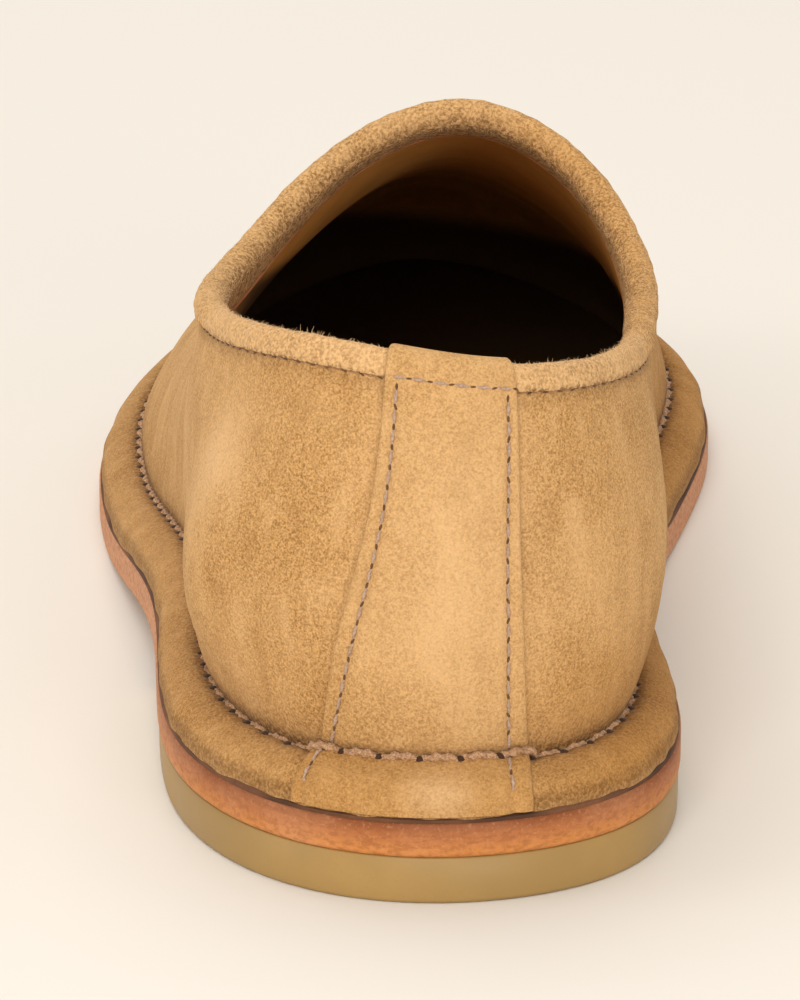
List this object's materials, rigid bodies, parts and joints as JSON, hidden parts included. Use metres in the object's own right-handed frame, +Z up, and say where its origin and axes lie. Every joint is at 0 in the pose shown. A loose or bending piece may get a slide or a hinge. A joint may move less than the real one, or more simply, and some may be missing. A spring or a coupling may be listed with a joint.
{
  "type": "loafer",
  "caption": "Slip-on loafer with a suede upper stitched down to a leather sole, a strap up the back, a bound collar and a rubber heel block.",
  "frame": {"origin": "centre of the shoe's bounding box on the floor it stands on", "axes": "+Y from heel to toe, +X towards the inner side of the left foot, +Z up"},
  "size_m": [0.1068, 0.2968, 0.0884],
  "materials": {
    "suede": "napped sand suede, matt",
    "sole_leather": "natural veg-tanned edge, satin",
    "midsole_leather": "dark leather edge, matt",
    "lining_leather": "smooth tan lining leather",
    "heel_rubber": "olive tan rubber, semi-gloss"
  },
  "bodies": {
    "root": {"heel": "heel_rubber", "outsole": "sole_leather", "midsole": "midsole_leather", "upper": "suede", "insole": "lining_leather", "collar_binding": "suede", "back_strap": "suede"}
  },
  "joints": []
}
